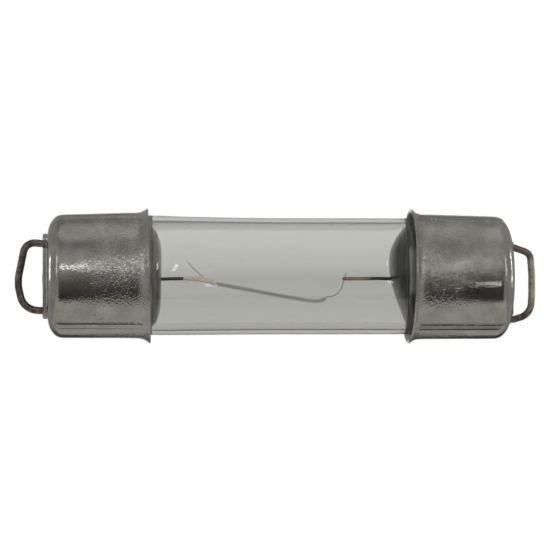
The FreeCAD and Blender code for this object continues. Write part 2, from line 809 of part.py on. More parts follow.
def right_leg_points(coil_end):
    """The curved leg from the coil up through the slit of the right post, and the short tail above it."""
    slit_middle = size("right_post_end") + size("slit_end_wall") + size("right_slit_length") / 2
    post = Vector(slit_middle, 0, -size("lead_drop"))
    way = post - coil_end
    middle = [coil_end + Vector(way.x * across, 0, way.z * upwards) for across, upwards in RIGHT_LEG_CURVE]
    first = coil_end + Vector(size("right_leg_out"), 0, -size("right_leg_sag"))
    last = post - Vector(size("right_leg_near"), 0, size("right_leg_under"))
    curve = smooth_curve([first] + middle + [last]).toShape()
    points = curve.discretize(Number=int(size("right_leg_point_count")))
    tail = Vector(post.x + size("right_tail_lean"), 0, size("right_tail_z"))
    return points + [post, tail, tail + Vector(size("right_tail_turn"), 0, size("right_tail_lean"))]


def make_filament():
    """One wire: the tail and hook at the left, the coil, and the leg and tail at the right, in one solid."""
    coil = coil_points()
    route = left_leg_points() + coil + right_leg_points(coil[-1])
    radius = size("coil_wire") / 2
    ways = [(after - before).normalize() for before, after in zip(route, route[1:])]
    side = ways[0].cross(Vector(0, 1, 0)).normalize()
    other = ways[0].cross(side).normalize()
    wire_sides = int(size("wire_side_count"))
    angles = [2 * math.pi * (index + 0.5) / wire_sides for index in range(wire_sides)]
    rings = [[route[0] + (side * math.cos(a) + other * math.sin(a)) * radius for a in angles]]
    for index in range(1, len(route)):
        way = ways[index - 1]
        across = (way + ways[min(index, len(ways) - 1)]).normalize()
        ring = []
        for corner in rings[-1]:
            distance = (route[index] - corner).dot(across) / way.dot(across)
            ring.append(corner + way * distance)
        rings.append(ring)
    faces = [Part.Face(Part.makePolygon(ring + ring[:1])) for ring in (rings[0], rings[-1])]
    for near, far in zip(rings, rings[1:]):
        for index in range(wire_sides):
            after = (index + 1) % wire_sides
            corners = [near[index], far[index], far[after], near[after], near[index]]
            faces.append(Part.Face(Part.makePolygon(corners)))
    wire = doc.addObject("Part::Feature", "filament")
    wire.Shape = Part.Solid(Part.Shell(faces))
    return wire


pieces = [make_glass()]
pieces += [make_cap(side) for side in (-1, 1)]
pieces.append(make_loop(-1, *left_loop_path()))
pieces.append(make_loop(1, *right_loop_path()))
pieces.append(loop_solder(-1, "lump_round", "lump_rise"))
pieces.append(loop_solder(1, "solder_round", "solder_rise"))
pieces += [lead_solder(side) for side in (-1, 1)]
pieces += [make_lead(side) for side in (-1, 1)]
pieces.append(make_post(-1, LEFT_POST_SHAPE, "left_slit_length"))
pieces.append(make_post(1, RIGHT_POST_SHAPE, "right_slit_length"))
pieces += [make_cement(side) for side in (-1, 1)]
pieces.append(make_filament())
doc.recompute()

for item in doc.Objects:
    if "Invalid" in item.State or "Error" in item.State:
        raise RuntimeError(f"{item.Name} failed: {item.State}")
for piece in pieces:
    if piece.Shape.isNull() or not piece.Shape.isValid():
        raise RuntimeError(f"{piece.Label} has no valid shape")
for piece in pieces:
    piece.Shape.exportStep(f"parts/{piece.Label}.step")
    print(piece.Label, len(piece.Shape.Solids), round(piece.Shape.Volume, 4), piece.Shape.BoundBox)
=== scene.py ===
import json
import math

import bpy
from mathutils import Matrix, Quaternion, Vector


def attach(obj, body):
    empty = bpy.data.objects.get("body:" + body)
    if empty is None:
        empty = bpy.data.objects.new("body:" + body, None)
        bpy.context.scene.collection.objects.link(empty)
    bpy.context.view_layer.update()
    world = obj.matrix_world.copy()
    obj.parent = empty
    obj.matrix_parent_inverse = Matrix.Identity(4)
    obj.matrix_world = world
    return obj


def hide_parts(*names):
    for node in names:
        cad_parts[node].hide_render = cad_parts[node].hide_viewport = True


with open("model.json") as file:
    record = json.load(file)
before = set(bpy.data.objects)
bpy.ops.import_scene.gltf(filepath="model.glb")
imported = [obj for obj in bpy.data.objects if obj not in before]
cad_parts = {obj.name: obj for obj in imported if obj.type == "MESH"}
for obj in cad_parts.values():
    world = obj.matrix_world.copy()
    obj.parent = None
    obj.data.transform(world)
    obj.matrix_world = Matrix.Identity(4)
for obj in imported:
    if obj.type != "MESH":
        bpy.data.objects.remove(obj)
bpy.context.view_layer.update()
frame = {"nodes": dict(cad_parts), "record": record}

# Lengths are written in millimetres and become metres through MM.
MM = 0.001
LEFT, RIGHT = -1, 1
END_NAME = {LEFT: "left", RIGHT: "right"}
FLAT_X = {LEFT: 19.7, RIGHT: 20.2}
CAP_LENGTH = 8.65
RIM_X = {side: FLAT_X[side] - CAP_LENGTH for side in (LEFT, RIGHT)}
# How high the leads lie, and how far before the axis the loops stand
LEAD_Z = -0.2
LOOP_Y = -0.9
# How far the raised bar stands out of a cap's flat end
BAR_HEIGHT = 0.43
# Where the pressed ribs of a cap run, in degrees above the side that faces the camera
RIB_WAYS = (-52.0, 68.0, 188.0)


# Shader maths


class Value:
    """A number that varies over a surface. Arithmetic on it adds the Math nodes."""

    def __init__(self, paint, socket):
        self.paint = paint
        self.socket = socket

    def maths(self, operation, *others):
        made = self.paint.tree.nodes.new("ShaderNodeMath")
        made.operation = operation
        for index, given in enumerate(others):
            if isinstance(given, Value):
                self.paint.tree.links.new(given.socket, made.inputs[index])
            else:
                made.inputs[index].default_value = given
        return Value(self.paint, made.outputs[0])

    def __add__(self, other):
        return self.maths("ADD", self, other)

    __radd__ = __add__

    def __sub__(self, other):
        return self.maths("SUBTRACT", self, other)

    def __rsub__(self, other):
        return self.maths("SUBTRACT", other, self)

    def __mul__(self, other):
        return self.maths("MULTIPLY", self, other)

    __rmul__ = __mul__

    def __truediv__(self, other):
        return self.maths("DIVIDE", self, other)

    def __pow__(self, other):
        return self.maths("POWER", self, other)

    def above(self, edge):
        return self.maths("GREATER_THAN", self, edge)

    def below(self, edge):
        return self.maths("LESS_THAN", self, edge)

    def larger(self, other):
        return self.maths("MAXIMUM", self, other)

    def size(self):
        return self.maths("ABSOLUTE", self)

    def between(self, low, high, soft):
        """1 between low and high, with soft edges."""
        return self.ramp(low - soft, low + soft) * self.ramp(high + soft, high - soft)

    def ramp(self, low, high):
        """0 below low, 1 above high, smooth between them."""
        made = self.paint.node(
            "ShaderNodeMapRange",
            {"interpolation_type": "SMOOTHSTEP"},
            {"Value": self, "From Min": low, "From Max": high},
        )
        return made("Result")


class Paint:
    """A material's or the world's nodes."""

    def __init__(self, owner):
        self.owner = owner
        owner.use_nodes = True
        self.tree = owner.node_tree
        self.tree.nodes.clear()

    def node(self, kind, settings=None, sockets=None):
        """Adds a node and returns a call that gives its outputs by name."""
        made = self.tree.nodes.new(kind)
        for name, setting in (settings or {}).items():
            if name == "stops":
                self.set_stops(made.color_ramp, setting)
            else:
                setattr(made, name, setting)
        for name, given in (sockets or {}).items():
            if isinstance(given, Value):
                self.tree.links.new(given.socket, made.inputs[name])
            else:
                made.inputs[name].default_value = given
        return lambda output: Value(self, made.outputs[output])

    def set_stops(self, ramp, stops):
        while len(ramp.elements) < len(stops):
            ramp.elements.new(0.5)
        for element, (place, colour) in zip(ramp.elements, stops):
            element.position = place
            element.color = (*colour, 1.0)

    def place(self):
        return self.node("ShaderNodeTexCoord")("Object")

    def stretched(self, scale, shift=(0.0, 0.0, 0.0)):
        """Object coordinates, scaled for a pattern."""
        sockets = {"Vector": self.place(), "Scale": scale, "Location": shift}
        return self.node("ShaderNodeMapping", {}, sockets)("Vector")

    def axes(self):
        """The surface's place in millimetres, as three values."""
        parts = self.node("ShaderNodeSeparateXYZ", {}, {"Vector": self.place()})
        return [parts(axis) / MM for axis in "XYZ"]

    def noise(self, grain, detail=3.0, roughness=0.5, stretch=(1.0, 1.0, 1.0), shift=0.0):
        """Cloudy noise from 0 to 1 whose blots are about this many millimetres across."""
        scale = tuple(part / (grain * MM) for part in stretch)
        vector = self.stretched(scale, (shift, shift, shift))
        sockets = {"Vector": vector, "Scale": 1.0, "Detail": detail, "Roughness": roughness}
        return self.node("ShaderNodeTexNoise", {}, sockets)("Fac")

    def mix(self, factor, one, other):
        """A colour between two colours."""
        sockets = {"Factor": factor, 6: one, 7: other}
        return self.node("ShaderNodeMix", {"data_type": "RGBA"}, sockets)(2)

    def bump(self, height, distance, normal=None):
        sockets = {"Height": height, "Distance": distance * MM, "Strength": 1.0}
        if normal:
            sockets["Normal"] = normal
        return self.node("ShaderNodeBump", {}, sockets)("Normal")

    def surface(self, shader):
        self.node("ShaderNodeOutputMaterial", {}, {"Surface": shader})


def colour(red, green, blue):
    """A linear colour from the 0 to 255 numbers of a picture."""
    parts = []
    for part in (red, green, blue):
        share = part / 255
        parts.append(share / 12.92 if share <= 0.04045 else ((share + 0.055) / 1.055) ** 2.4)
    return (*parts, 1.0)


def smoky(level, blue):
    """A linear grey with its own level of blue."""
    return (level, level, blue, 1.0)


def new_paint(name):
    return Paint(bpy.data.materials.new(name))


def metal(paint, base, roughness, normal=None, metallic=1.0):
    sockets = {"Base Color": base, "Roughness": roughness, "Metallic": metallic}
    if normal:
        sockets["Normal"] = normal
    paint.surface(paint.node("ShaderNodeBsdfPrincipled", {}, sockets)("BSDF"))
    return paint.owner


# Where painted shade lies along the ribs: from and to, in millimetres from the middle of the bulb
RIB_SHADE_RUN = (12.1, 18.9)


def rib_painted_shade(along, across, height):
    """How much painted shade lies at each place: along the far edge of each rib's crest, and less along its near
    foot, where a raised rib shades the plate. The right cap's crests are also darker all over.
    """
    way = height.maths("ARCTAN2", height, across * -1.0) * math.degrees(1)
    rib_shade = 0.0
    for rib in RIB_WAYS:
        rib = rib - 360 if rib > 180 else rib
        off = (way - rib) * (1.0 if rib > 0 else -1.0)
        # painted shade: a dark line at the far edge of the crest, and a fainter one at the near foot
        crest_edge = (off - 2.9).between(-1.4, 1.2, 0.4)
        near_foot = (off + 4.0).between(-0.4, 0.4, 0.4)
        rib_shade = crest_edge * 1.2 + near_foot * 0.45 + rib_shade
        # the crests of the right cap are darker all over
        rib_shade = off.between(-3.0, 3.0, 0.6) * along.above(0.0) * 0.35 + rib_shade
    return rib_shade * along.size().between(*RIB_SHADE_RUN, 0.3)


def nickel_plate():
    """Nickel plate on drawn sheet: mottled, finely speckled, with a few dark pits and painted shade along the
    ribs.
    """
    paint = new_paint("nickel_plate")
    along, across, height = paint.axes()
    length = along.size()
    # the raised bars are smooth
    body = length.ramp(19.95, 19.8)
    mottle = paint.noise(1.6, 4.0, 0.6)
    speckle = paint.noise(0.19, 1.0, 0.6, stretch=(1.4, 1.0, 1.0), shift=3.0)
    # the plate is grainier towards the mouth
    coarse = length.ramp(18.6, 13.4) * 0.75 + 0.25
    cloud = paint.noise(3.4, 2.0, 0.5, shift=7.0)
    pits = paint.noise(0.45, 1.0, 0.4, shift=11.0)
    tone = paint.mix(mottle.ramp(0.3, 0.75), colour(176, 174, 165), colour(204, 202, 196))
    tone = paint.mix(speckle.ramp(0.56, 0.76) * body * 0.35, tone, colour(120, 118, 112))
    tone = paint.mix(pits.ramp(0.76, 0.8) * 0.7, tone, colour(70, 68, 62))
    # painted shade along the ribs, stronger and weaker with the mottle
    rib_shade = rib_painted_shade(along, across, height) * (0.45 + mottle * 0.7)
    tone = paint.mix(rib_shade, tone, colour(50, 47, 42))
    grain = paint.bump(speckle * body * coarse, 0.045)
    waves = paint.bump(cloud, 0.016, grain)
    return metal(paint, tone, 0.09 + mottle * 0.09, waves)


def dark_wire():
    """Bent steel wire with a dull dark skin. The right loop's middle is worn to a lighter, olive brown."""
    paint = new_paint("loop_wire")
    along, _, height = paint.axes()
    blots = paint.noise(0.5, 4.0, 0.65)
    dark = paint.mix(blots.ramp(0.35, 0.65), colour(98, 94, 92), colour(164, 149, 141))
    worn = paint.mix(blots.ramp(0.3, 0.7), colour(186, 176, 152), colour(236, 224, 200))
    tone = paint.mix(along.above(0.0) * height.between(-2.7, 1.7, 0.5), dark, worn)
    grain = paint.bump(paint.noise(0.12, 3.0, 0.6), 0.02)
    return metal(paint, tone, 0.34 + blots * 0.2, grain)


def lead_wire():
    paint = new_paint("lead_wire")
    blots = paint.noise(0.3, 3.0, 0.6)
    tone = paint.mix(blots, colour(84, 80, 78), colour(120, 112, 106))
    return metal(paint, tone, 0.42, paint.bump(blots, 0.01), 0.7)


def left_post_metal():
    paint = new_paint("left_post_metal")
    blots = paint.noise(0.35, 3.0, 0.6)
    tone = paint.mix(blots.ramp(0.3, 0.7), colour(232, 226, 204), colour(250, 246, 230))
    return metal(paint, tone, 0.4, paint.bump(blots, 0.02), 0.15)


def right_post_metal():
    paint = new_paint("right_post_metal")
    blots = paint.noise(0.3, 3.0, 0.6)
    middle = (paint.axes()[0] - 6.9).size().ramp(1.1, 0.5)
    tone = paint.mix(blots.ramp(0.3, 0.7), colour(132, 124, 122), colour(168, 158, 154))
    tone = paint.mix(middle * 0.8, tone, colour(204, 168, 158))
    return metal(paint, tone, 0.4, paint.bump(blots, 0.01), 0.5)


def tungsten():
    paint = new_paint("tungsten")
    blots = paint.noise(0.2, 2.0, 0.5)
    tone = paint.mix(blots, colour(52, 50, 49), colour(84, 82, 80))
    return metal(paint, tone, 0.4)


def solder_metal():
    paint = new_paint("solder")
    blots = paint.noise(0.25, 3.0, 0.6)
    tone = paint.mix(blots, colour(140, 138, 132), colour(196, 194, 188))
    return metal(paint, tone, 0.34, paint.bump(blots, 0.03))


def cement():
    paint = new_paint("cement")
    blots = paint.noise(0.4, 4.0, 0.65)
    tone = paint.mix(blots, colour(92, 88, 80), colour(132, 126, 114))
    return metal(paint, tone, 0.85, paint.bump(blots, 0.05), 0.0)


# The glass's grey tint at shares of the height from -5 to 5 mm, with painted shade: darker low down, and in thin
# lines near the top and bottom walls
GLASS_TINT_AND_SHADE = [
    (0.0, 192), (0.04, 196), (0.058, 222), (0.09, 217), (0.13, 214), (0.28, 211), (0.373, 214), (0.425, 212),
    (0.477, 211), (0.53, 214), (0.606, 219), (0.7, 222), (0.94, 228), (0.965, 198), (1.0, 198),
]
# Where the glass was melted, and where painted shade lies in it: the domes inside the tube, and the wall between
# them and the caps
DOME_RADIUS = 4.42
DOME_X = 9.2
SLEEVE_RADIUS = 4.9
SLEEVE_X = {LEFT: -10.75, RIGHT: 11.02}
# The middle and half the height of the spot in the right end where the painted shade is paler
WINDOW_Z = 0.5
WINDOW_HALF = 1.9
SEAL_SHADE_SHARE = 0.5


def clear_glass():
    """Clear glass with a grey tint and painted shade: darker low down and in thin lines near its walls, streaky
    and nearly opaque with painted shade in its melted ends.
    """
    paint = new_paint("clear_glass")
    along, across, height = paint.axes()
    share = height * 0.1 + 0.5
    # the grey tint, with painted shade: darker low down and in thin lines near the walls
    stops = [(place, colour(level, level, level - 3)[:3]) for place, level in GLASS_TINT_AND_SHADE]
    tone = paint.node("ShaderNodeValToRGB", {"stops": stops}, {"Fac": share})("Color")
    radius = (across * across + height * height) ** 0.5
    streaks = paint.noise(1.0, 3.0, 0.65, stretch=(4.5, 0.4, 0.3), shift=2.0).ramp(0.4, 0.6)
    right = along.above(0.0)
    # painted shade in the domes: dark and streaky, darker at the right
    dome_dark_shade = paint.mix(right, smoky(0.05, 0.046), smoky(0.006, 0.0055))
    light = paint.mix(right, smoky(0.3, 0.28), smoky(0.04, 0.036))
    dome = radius.below(DOME_RADIUS) * along.size().above(DOME_X)
    tone = paint.mix(dome, tone, paint.mix(streaks, dome_dark_shade, light))
    # painted shade in the wall under the caps, paler in a spot in the right end
    sleeve = (along.above(SLEEVE_X[RIGHT]) + along.below(SLEEVE_X[LEFT])) * radius.above(SLEEVE_RADIUS)
    paler_shade_spot = right * (height - WINDOW_Z).between(-WINDOW_HALF, WINDOW_HALF, 0.4)
    sleeve_painted_shade = paint.mix(streaks, smoky(0.04, 0.036), smoky(0.12, 0.11))
    sleeve_painted_shade = paint.mix(paler_shade_spot, sleeve_painted_shade, smoky(0.16, 0.15))
    tone = paint.mix(sleeve, tone, sleeve_painted_shade)
    sockets = {"Base Color": tone, "Roughness": 0.0, "IOR": 1.48, "Transmission Weight": 1.0}
    glass = paint.node("ShaderNodeBsdfPrincipled", {}, sockets)("BSDF")
    # painted shade in the melted ends: a dull, grey, streaky layer over the glass, paler at the left and in a spot
    # in the right end
    left_seal_shade = paint.mix(streaks, smoky(0.22, 0.2), smoky(0.48, 0.45))
    right_seal_shade = paint.mix(streaks, smoky(0.045, 0.04), smoky(0.13, 0.12))
    seal_shade_tone = paint.mix(right, left_seal_shade, right_seal_shade)
    seal_shade_tone = paint.mix(paler_shade_spot * sleeve, seal_shade_tone, smoky(0.3, 0.28))
    seal_shade_layer = paint.node("ShaderNodeBsdfPrincipled", {}, {"Base Color": seal_shade_tone, "Roughness": 0.35})("BSDF")
    melted = dome.larger(sleeve) * SEAL_SHADE_SHARE
    paint.surface(paint.node("ShaderNodeMixShader", {}, {"Fac": melted, 1: glass, 2: seal_shade_layer})("Shader"))
    return paint.owner


FINISH = {
    "nickel_plate": nickel_plate(),
    "loop_wire": dark_wire(),
    "lead_wire": lead_wire(),
    "left_post_metal": left_post_metal(),
    "right_post_metal": right_post_metal(),
    "tungsten": tungsten(),
    "solder": solder_metal(),
    "cement": cement(),
    "clear_glass": clear_glass(),
}


# Modelling


def deselect():
    bpy.ops.object.select_all(action="DESELECT")


def active(piece):
    deselect()
    piece.select_set(True)
    bpy.context.view_layer.objects.active = piece


def apply_place():
    bpy.ops.object.transform_apply(location=True, rotation=True, scale=True)


def edit(select):
    bpy.ops.object.mode_set(mode="EDIT")
    bpy.ops.mesh.select_mode(type="VERT")
    bpy.ops.mesh.select_all(action=select)


def leave():
    bpy.ops.object.mode_set(mode="OBJECT")


def pick_faces(piece, wanted):
    """Selects the faces whose middle, in millimetres, and normal pass the test, and goes to edit mode."""
    edit("DESELECT")
    bpy.ops.mesh.select_mode(type="FACE")
    leave()
    for face in piece.data.polygons:
        face.select = wanted(face.center / MM, face.normal)
    bpy.ops.object.mode_set(mode="EDIT")


def modify(piece, kind, **settings):
    modifier = piece.modifiers.new(kind.lower(), kind)
    for name, setting in settings.items():
        setattr(modifier, name, setting)
    active(piece)
    bpy.ops.object.modifier_apply(modifier=modifier.name)


def smooth_all(piece, angle=None):
    active(piece)
    if angle is None:
        bpy.ops.object.shade_smooth()
    else:
        bpy.ops.object.shade_smooth_by_angle(angle=math.radians(angle))


def outwards(piece):
    active(piece)
    edit("SELECT")
    bpy.ops.mesh.remove_doubles(threshold=0.0005 * MM)
    bpy.ops.mesh.normals_make_consistent(inside=False)
    leave()


def ring_to(x, radius, lift, last):
    """Extrudes the selected ring about the X axis to its next place."""
    old_x, old_radius, old_lift = last
    move = ((x - old_x) * MM, 0, (lift - old_lift) * MM)
    bpy.ops.mesh.extrude_region_move(TRANSFORM_OT_translate={"value": move})
    scale = radius / old_radius
    bpy.ops.transform.resize(value=(1, scale, scale), center_override=(x * MM, 0, lift * MM))


def drawn_shell(name, segments, stations, close_first, close_last):
    """A shell along X: a circle extruded through stations of x, radius and lift, with closed or open ends."""
    first_x, first_radius, first_lift = stations[0]
    deselect()
    bpy.ops.mesh.primitive_circle_add(vertices=segments, radius=first_radius * MM, rotation=(0, math.pi / 2, 0))
    piece = bpy.context.object
    piece.name = name
    piece.location = (first_x * MM, 0, first_lift * MM)
    apply_place()
    edit("SELECT")
    for last, (x, radius, lift) in zip(stations, stations[1:]):
        ring_to(x, radius, lift, last)
    if close_last:
        bpy.ops.mesh.extrude_region_move()
        bpy.ops.mesh.merge(type="CENTER")
    if close_first:
        bpy.ops.mesh.select_all(action="DESELECT")
        leave()
        for vertex in piece.data.vertices[:segments]:
            vertex.select = abs(vertex.co.x - first_x * MM) < 0.0001 * MM
        bpy.ops.object.mode_set(mode="EDIT")
        bpy.ops.mesh.extrude_region_move()
        bpy.ops.mesh.merge(type="CENTER")
    leave()
    return piece


def stands_for(piece, node, slot):
    """The finished piece rides on the only body and takes the node's place."""
    piece.data.materials.clear()
    piece.data.materials.append(FINISH[slot])
    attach(piece, "root")
    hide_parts(node)


# The caps

CAP_SEGMENTS = 111
# Where the flare starts, measured from the rim, how round it is, and how far it turns out, in degrees
FLARE = {LEFT: (1.25, 1.569, 44.1), RIGHT: (1.064, 1.15, 52.0)}
SIDE_REACH = 5.43
SIDE_ROUND = 1.088
END_ROUND = 1.812
END_REACH = 5.33
CORNER_ALONG = 1.3
CORNER_ACROSS = 1.6
SHEET = 0.2
# Both caps sit a little crooked on the glass: how high their middle line runs at the flare and at the corner.
FLARE_LIFT = {LEFT: 0.08, RIGHT: -0.04}
# The mouths lean: how far the lower half of each comes nearer the middle of the bulb, in degrees
MOUTH_LEAN = 1.1
MOUTH_SHIFT = {LEFT: 0.17, RIGHT: 0.1}
CORNER_LIFT = {LEFT: 0.0, RIGHT: -0.12}
# A rib runs between these distances from the rim, and its half width is given in segments
RIB_RUN = (0.6, 7.97)
RIB_HALF = 1.6
# The insets that press a rib: how far in, and how far out of the sheet
RIB_INSETS = ((0.06, 0.0), (0.07, 0.13), (0.1, 0.03))


def cap_profile(side):
    """The cap's outer surface from the lip to the middle of its end: distance from the rim, radius and lift."""
    points = []
    flare_start, flare_round, flare_turn = FLARE[side]
    for share in (1.0, 0.85, 0.7, 0.56, 0.42, 0.27, 0.13, 0.0):
        angle = math.radians(flare_turn) * share
        rise = SIDE_REACH + flare_round * (1 - math.cos(angle))
        lift = FLARE_LIFT[side] * (1 - 0.6 * share)
        points.append((flare_start - flare_round * math.sin(angle), rise, lift))
    corner_start = CAP_LENGTH - CORNER_ALONG
    low = CORNER_LIFT[side]
    for share in (0.08, 0.2, 0.35, 0.5, 0.65, 0.8, 0.92):
        along = flare_start + (corner_start - flare_start) * share
        lift = FLARE_LIFT[side] + (low - FLARE_LIFT[side]) * share
        points.append((along, SIDE_REACH + (END_REACH - SIDE_REACH) * share, lift))
    for turn in (0, 11, 22, 34):
        angle = math.radians(turn)
        along = corner_start + SIDE_ROUND * math.sin(angle)
        points.append((along, END_REACH - SIDE_ROUND * (1 - math.cos(angle)), low))
    for turn in (45, 56, 67, 79, 90):
        angle = math.radians(turn)
        along = CAP_LENGTH - END_ROUND * (1 - math.sin(angle))
        points.append((along, END_REACH - CORNER_ACROSS + END_ROUND * math.cos(angle), low))
    for radius in (3.3, 2.5, 1.6, 0.8, 0.3):
        points.append((CAP_LENGTH, radius, low * radius / 3.3))
    return points


def way_of(place):
    """How far round the bulb a place is, in degrees above the side that faces the camera."""
    return math.degrees(math.atan2(place.z, -place.y))


def near_rib(place):
    ways = [abs((way_of(place) - way + 180) % 360 - 180) for way in RIB_WAYS]
    return min(ways) < RIB_HALF * 360 / CAP_SEGMENTS


def lean_mouth(cap, side):
    """Turns the flared mouth a little, as it sits crooked on the glass."""
    edit("DESELECT")
    leave()
    for vertex in cap.data.vertices:
        vertex.select = abs(vertex.co.x) < (RIM_X[side] + FLARE[side][0] + 0.05) * MM
    bpy.ops.object.mode_set(mode="EDIT")
    middle = side * (RIM_X[side] + 0.5) * MM
    turn = -math.radians(MOUTH_LEAN) * side
    bpy.ops.transform.rotate(value=turn, orient_axis="Y", center_override=(middle, 0, 0))
    bpy.ops.transform.translate(value=(-side * MOUTH_SHIFT[side] * MM, 0, 0))
    leave()


def press_ribs(cap, side):
    """Three long ribs, pressed outwards."""
    start, end = [RIM_X[side] + distance for distance in RIB_RUN]
    pick_faces(cap, lambda middle, normal: start < side * middle.x < end and near_rib(middle))
    for thickness, depth in RIB_INSETS:
        bpy.ops.mesh.inset(thickness=thickness * MM, depth=depth * MM)
    leave()


# The raised bars: from front to back, from bottom to top, and how deep the block is that each is made of
BAR_ACROSS = (-0.6, 1.6)
BAR_HIGH = {LEFT: (-3.675, 3.675), RIGHT: (-3.5, 3.1)}
BAR_DEPTH = 0.68


def make_bar(side):
    """The raised bar pressed out of the flat end, with soft edges."""
    front, back = BAR_ACROSS
    bottom, top = BAR_HIGH[side]
    deselect()
    bpy.ops.mesh.primitive_cube_add(size=1.0)
    bar = bpy.context.object
    bar.name = f"{END_NAME[side]}_bar"
    bar.scale = (BAR_DEPTH * MM, (back - front) * MM, (top - bottom) * MM)
    middle = side * (FLAT_X[side] + BAR_HEIGHT - BAR_DEPTH / 2)
    bar.location = (middle * MM, (front + back) / 2 * MM, (top + bottom) / 2 * MM)
    apply_place()
    edit("DESELECT")
    bpy.ops.mesh.select_mode(type="EDGE")
    leave()
    for edge in bar.data.edges:
        ends = [bar.data.vertices[index].co for index in edge.vertices]
        edge.select = abs(ends[0].x - ends[1].x) > 0.1 * MM
    bpy.ops.object.mode_set(mode="EDIT")
    bpy.ops.mesh.bevel(offset=0.5 * MM, segments=6)
    leave()
    pick_faces(bar, lambda middle, normal: normal.x * side > 0.9)
    bpy.ops.mesh.bevel(offset=0.17 * MM, segments=4)
    leave()
    smooth_all(bar, 40)
    return bar


def make_cap(side):
    name = END_NAME[side]
    stations = [(side * (RIM_X[side] + along), radius, lift) for along, radius, lift in cap_profile(side)]
    cap = drawn_shell(f"{name}_cap_shell", CAP_SEGMENTS, stations, False, True)
    # a rib's middle falls on the middle of a segment
    step = 2 * math.pi / CAP_SEGMENTS
    first = cap.data.vertices[0].co
    first_way = math.atan2(first.z, -first.y)
    turn = (math.radians(RIB_WAYS[0]) + step / 2 - first_way) % step
    cap.rotation_euler = (-turn, 0, 0)
    active(cap)
    apply_place()
    outwards(cap)
    press_ribs(cap, side)
    lean_mouth(cap, side)
    modify(cap, "SOLIDIFY", thickness=SHEET * MM, offset=-1.0)
    modify(cap, "SUBSURF", levels=1, render_levels=1)
    smooth_all(cap)
    bar = make_bar(side)
    active(cap)
    bar.select_set(True)
    bpy.ops.object.join()
    stands_for(cap, f"{name}_cap", "nickel_plate")


# Wires


def bent_route(corners, bends, step=0.12):
    """Points along straight runs that are joined by round bends, in the plane of the loops."""
    places = [Vector((x, LOOP_Y, z)) for x, z in corners]
    route = [places[0]]
    for index, radius in enumerate(bends, start=1):
        way_in = (places[index] - places[index - 1]).normalized()
        way_out = (places[index + 1] - places[index]).normalized()
        turn = way_in.angle(way_out)
        reach = radius * math.tan(turn / 2)
        centre = places[index] + (way_out - way_in).normalized() * (radius / math.cos(turn / 2))
        enter = places[index] - way_in * reach
        axis = way_in.cross(way_out).normalized()
        parts = max(3, round(radius * turn / step))
        for part in range(parts + 1):
            arm = enter - centre
            arm.rotate(Quaternion(axis, turn * part / parts))
            route.append(centre + arm)
    route.append(places[-1])
    return route


def make_wire(name, route, radius, roundness=3, swell=None):
    """Round wire along a route in millimetres, closed at both ends, made a mesh."""
    deselect()
    bpy.ops.curve.primitive_nurbs_path_add()
    wire = bpy.context.object
    wire.name = name
    wire.data.splines.clear()
    line = wire.data.splines.new("POLY")
    line.points.add(len(route) - 1)
    for index, place in enumerate(route):
        line.points[index].co = (*(Vector(place) * MM), 1.0)
        line.points[index].radius = swell[index] if swell else 1.0
    wire.data.bevel_depth = radius * MM
    wire.data.bevel_resolution = roundness
    wire.data.use_fill_caps = True
    active(wire)
    bpy.ops.object.convert(target="MESH")
    wire = bpy.context.object
    outwards(wire)
    smooth_all(wire, 50)
    return wire


def make_loop(side, corners, bends, radius):
    loop = make_wire(f"{END_NAME[side]}_wire_loop", bent_route(corners, bends), radius, 5)
    stands_for(loop, f"{END_NAME[side]}_loop", "loop_wire")


# The corners (x, z) of each loop's wire from the top leg to the low one, and the radii of its bends
LEFT_LOOP = [
    (-19.1, 2.7), (-21.56, 2.93), (-22.17, -0.1), (-22.17, -0.9), (-21.74, -2.8), (-20.4, -2.93), (-19.1, -2.98),
]
LEFT_BENDS = [0.95, 3.0, 2.0, 1.5, 2.0]
RIGHT_LOOP = [
    (19.6, 2.5), (20.52, 2.5), (21.99, 1.98), (22.13, 0.1), (22.13, -1.6), (22.02, -3.28), (20.52, -3.75),
    (19.6, -3.75),
]
RIGHT_BENDS = [0.8, 0.8, 6.0, 6.0, 1.35, 0.8]


# Solder


def ring_about(name, side, middle, stations):
    """A small turned form about a line through the middle (y, z), along the bulb."""
    ring = drawn_shell(name, 32, [(side * x, radius, 0.0) for x, radius in stations], True, True)
    ring.location = (0, middle[0] * MM, middle[1] * MM)
    active(ring)
    apply_place()
    outwards(ring)
    return ring


LEG_RADIUS = 0.29
# A fillet's hollow side: shares of its rise, and of its foot past the leg
FILLET = ((0.0, 1.0), (0.1, 0.93), (0.3, 0.72), (0.55, 0.45), (0.8, 0.2), (1.0, 0.06))


def make_loop_solder(side, legs):
    """A fillet of solder that climbs each leg of the loop. Each leg is given as height, foot and rise."""
    face = FLAT_X[side]
    parts = []
    for number, (height, foot, rise) in enumerate(legs):
        stations = [(face + rise * along, LEG_RADIUS + (foot - LEG_RADIUS) * wide) for along, wide in FILLET]
        stations = [(face - 0.06, foot)] + stations
        part = ring_about(f"{END_NAME[side]}_fillet_{number}", side, (LOOP_Y, height), stations)
        parts.append(part)
    active(parts[0])
    parts[1].select_set(True)
    bpy.ops.object.join()
    solder = parts[0]
    clouds = bpy.data.textures.new(f"{END_NAME[side]}_solder_lumps", "CLOUDS")
    clouds.noise_scale = 0.45 * MM
    modify(solder, "SUBSURF", levels=1, render_levels=1)
    modify(solder, "DISPLACE", texture=clouds, strength=0.09 * MM, mid_level=0.5)
    smooth_all(solder)
    stands_for(solder, f"{END_NAME[side]}_loop_solder", "solder")


